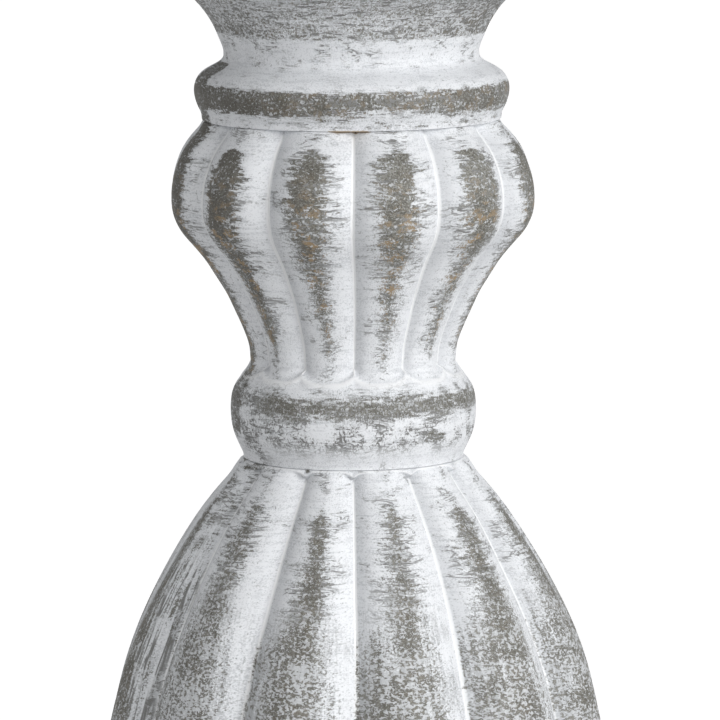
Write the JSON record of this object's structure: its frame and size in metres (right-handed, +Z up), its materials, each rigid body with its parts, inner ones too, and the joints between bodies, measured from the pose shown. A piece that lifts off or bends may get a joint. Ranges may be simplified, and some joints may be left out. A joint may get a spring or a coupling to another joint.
{
  "type": "wooden candlestick",
  "caption": "Turned and carved wooden candlestick with fluted bulbs, round beads, a wide dish and a lift-off metal drip pan over a spike, in worn white paint.",
  "frame": {"origin": "on the axis of the candlestick, at the surface that the felt pads stand on", "axes": "+Z up along the axis; a valley between two lobes faces -Y"},
  "size_m": [0.15, 0.15, 0.352],
  "materials": {
    "painted_wood": "white paint over grey, rubbed back to the wood on the high places",
    "dowel_wood": "bare hardwood",
    "screw_steel": "zinc plated",
    "felt": "pressed felt",
    "pan_metal": "dull pressed sheet",
    "spike_steel": "turned steel"
  },
  "bodies": {
    "stand": {"foot": "painted_wood", "lower_bulb": "painted_wood", "upper_bulb": "painted_wood", "dish": "painted_wood", "foot_dowel": "dowel_wood", "middle_dowel": "dowel_wood", "dish_dowel": "dowel_wood", "foot_screw_1": "screw_steel", "foot_screw_2": "screw_steel", "foot_screw_3": "screw_steel", "felt_pad_1": "felt", "felt_pad_2": "felt", "felt_pad_3": "felt", "felt_pad_4": "felt", "spike": "spike_steel"},
    "pan": {"drip_pan": "pan_metal"}
  },
  "joints": [
    {"name": "pan_lift", "type": "slide", "parent": "stand", "child": "pan", "axis": [0, 0, 1], "range_m": [0, 0.03]}
  ]
}
